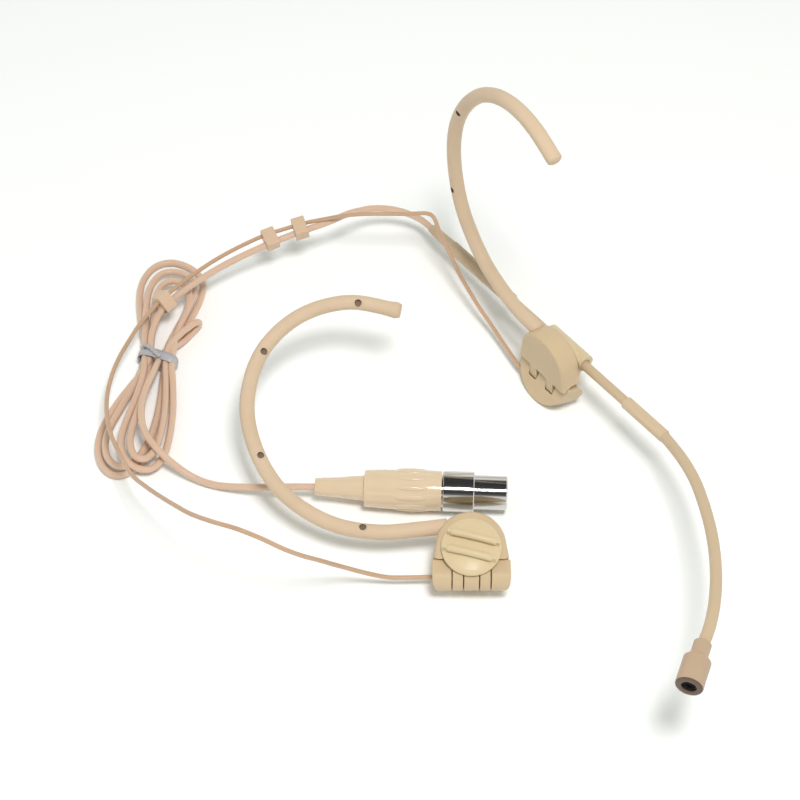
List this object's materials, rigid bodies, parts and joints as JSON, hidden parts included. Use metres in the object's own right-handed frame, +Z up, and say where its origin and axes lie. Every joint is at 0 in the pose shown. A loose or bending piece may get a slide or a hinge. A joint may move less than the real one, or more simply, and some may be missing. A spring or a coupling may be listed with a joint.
{
  "type": "headset microphone",
  "caption": "Double ear hook headset microphone with hinged ear pods on a neck wire, a tilting, turning and sliding boom, a tied cable and a round locking plug.",
  "frame": {"origin": "centre of the headset's footprint on the table, without its cable, hank and plug", "axes": "+Z up from the table, +Y away from the microphone capsule towards the middle of the neck wire, +X towards the boom"},
  "size_m": [0.1667, 0.1826, 0.0935],
  "materials": {
    "coated_wire": "skin coloured satin coating on spring wire",
    "beige_plastic": "fine matt moulding",
    "clip_plastic": "matt moulding",
    "spring_steel": "plain drawn wire",
    "washer_plastic": "white acetal",
    "hook_rubber": "matt soft sleeve",
    "disc_plastic": "glossy pale yellow moulding",
    "boom_coating": "satin skin coloured coating",
    "ferrule_coating": "satin coating, slightly yellower",
    "capsule_coating": "matt tan coating",
    "capsule_metal": "plain metal can",
    "grille_plastic": "dark brown",
    "cable_jacket": "smooth pinkish jacket, slightly glossy",
    "tie_plastic": "grey coated wire tie",
    "plug_plastic": "glossy beige moulding",
    "clamp_plastic": "white acetal",
    "nickel": "bright nickel plate",
    "insert_plastic": "black insulator",
    "contact_metal": "plated socket contact"
  },
  "bodies": {
    "headband": {"headband_wire": "coated_wire", "near_flap": "beige_plastic", "far_flap": "beige_plastic", "near_hinge_pin": "spring_steel", "far_hinge_pin": "spring_steel", "cable_clip_rear": "clip_plastic", "cable_clip_middle": "clip_plastic", "cable_clip_side": "clip_plastic", "cable_lead": "cable_jacket", "cable_hank": "cable_jacket", "cable_tail": "cable_jacket", "cable_tie": "tie_plastic", "plug_boot": "plug_plastic", "plug_cable_clamp": "clamp_plastic", "plug_grip": "plug_plastic", "plug_ring": "nickel", "plug_shell": "nickel", "plug_insert": "insert_plastic", "plug_contact_1": "contact_metal", "plug_contact_2": "contact_metal", "plug_contact_3": "contact_metal"},
    "near_pod": {"near_housing": "beige_plastic", "near_retaining_ring": "spring_steel", "near_friction_washer": "washer_plastic", "near_ear_hook": "hook_rubber", "near_ear_hook_core": "spring_steel"},
    "near_knob": {"near_disc": "disc_plastic"},
    "far_pod": {"far_housing": "beige_plastic", "far_retaining_ring": "spring_steel", "far_friction_washer": "washer_plastic", "far_ear_hook": "hook_rubber", "far_ear_hook_core": "spring_steel"},
    "boom_tilt": {"boom_holder": "disc_plastic"},
    "boom_roll": {"boom_friction_bush": "washer_plastic"},
    "boom": {"boom_rod": "boom_coating", "boom_strain_relief": "boom_coating", "boom_ferrule": "ferrule_coating", "boom_arm": "boom_coating", "capsule_collar": "capsule_coating", "capsule_housing": "capsule_coating", "capsule_element": "capsule_metal", "capsule_grille": "grille_plastic"}
  },
  "joints": [
    {"name": "near_pod_hinge", "type": "hinge", "parent": "headband", "child": "near_pod", "pos_m": [0.0198, -0.0384, 0.007], "axis": [1, 0, 0], "range_deg": [-12, 35]},
    {"name": "near_disc_turn", "type": "hinge", "parent": "near_pod", "child": "near_knob", "pos_m": [0.0198, -0.03164, 0.00881], "axis": [0, -0.2588, 0.9659], "continuous": true},
    {"name": "far_pod_hinge", "type": "hinge", "parent": "headband", "child": "far_pod", "pos_m": [0.04405, 0.03035, 0.00551], "axis": [0.5864, -0.807, 0.0698], "range_deg": [-18, 5]},
    {"name": "boom_tilt_turn", "type": "hinge", "parent": "far_pod", "child": "boom_tilt", "pos_m": [0.04376, 0.03075, 0.01249], "axis": [0.809, 0.5878, 0], "range_deg": [-6, 3]},
    {"name": "boom_roll_turn", "type": "hinge", "parent": "boom_tilt", "child": "boom_roll", "pos_m": [0.0484, 0.03423, 0.01359], "axis": [0.5855, -0.8059, 0.0872], "range_deg": [-60, 25]},
    {"name": "boom_slide", "type": "slide", "parent": "boom_roll", "child": "boom", "axis": [0.5855, -0.8059, 0.0872], "range_m": [-0.002, 0.014]}
  ]
}
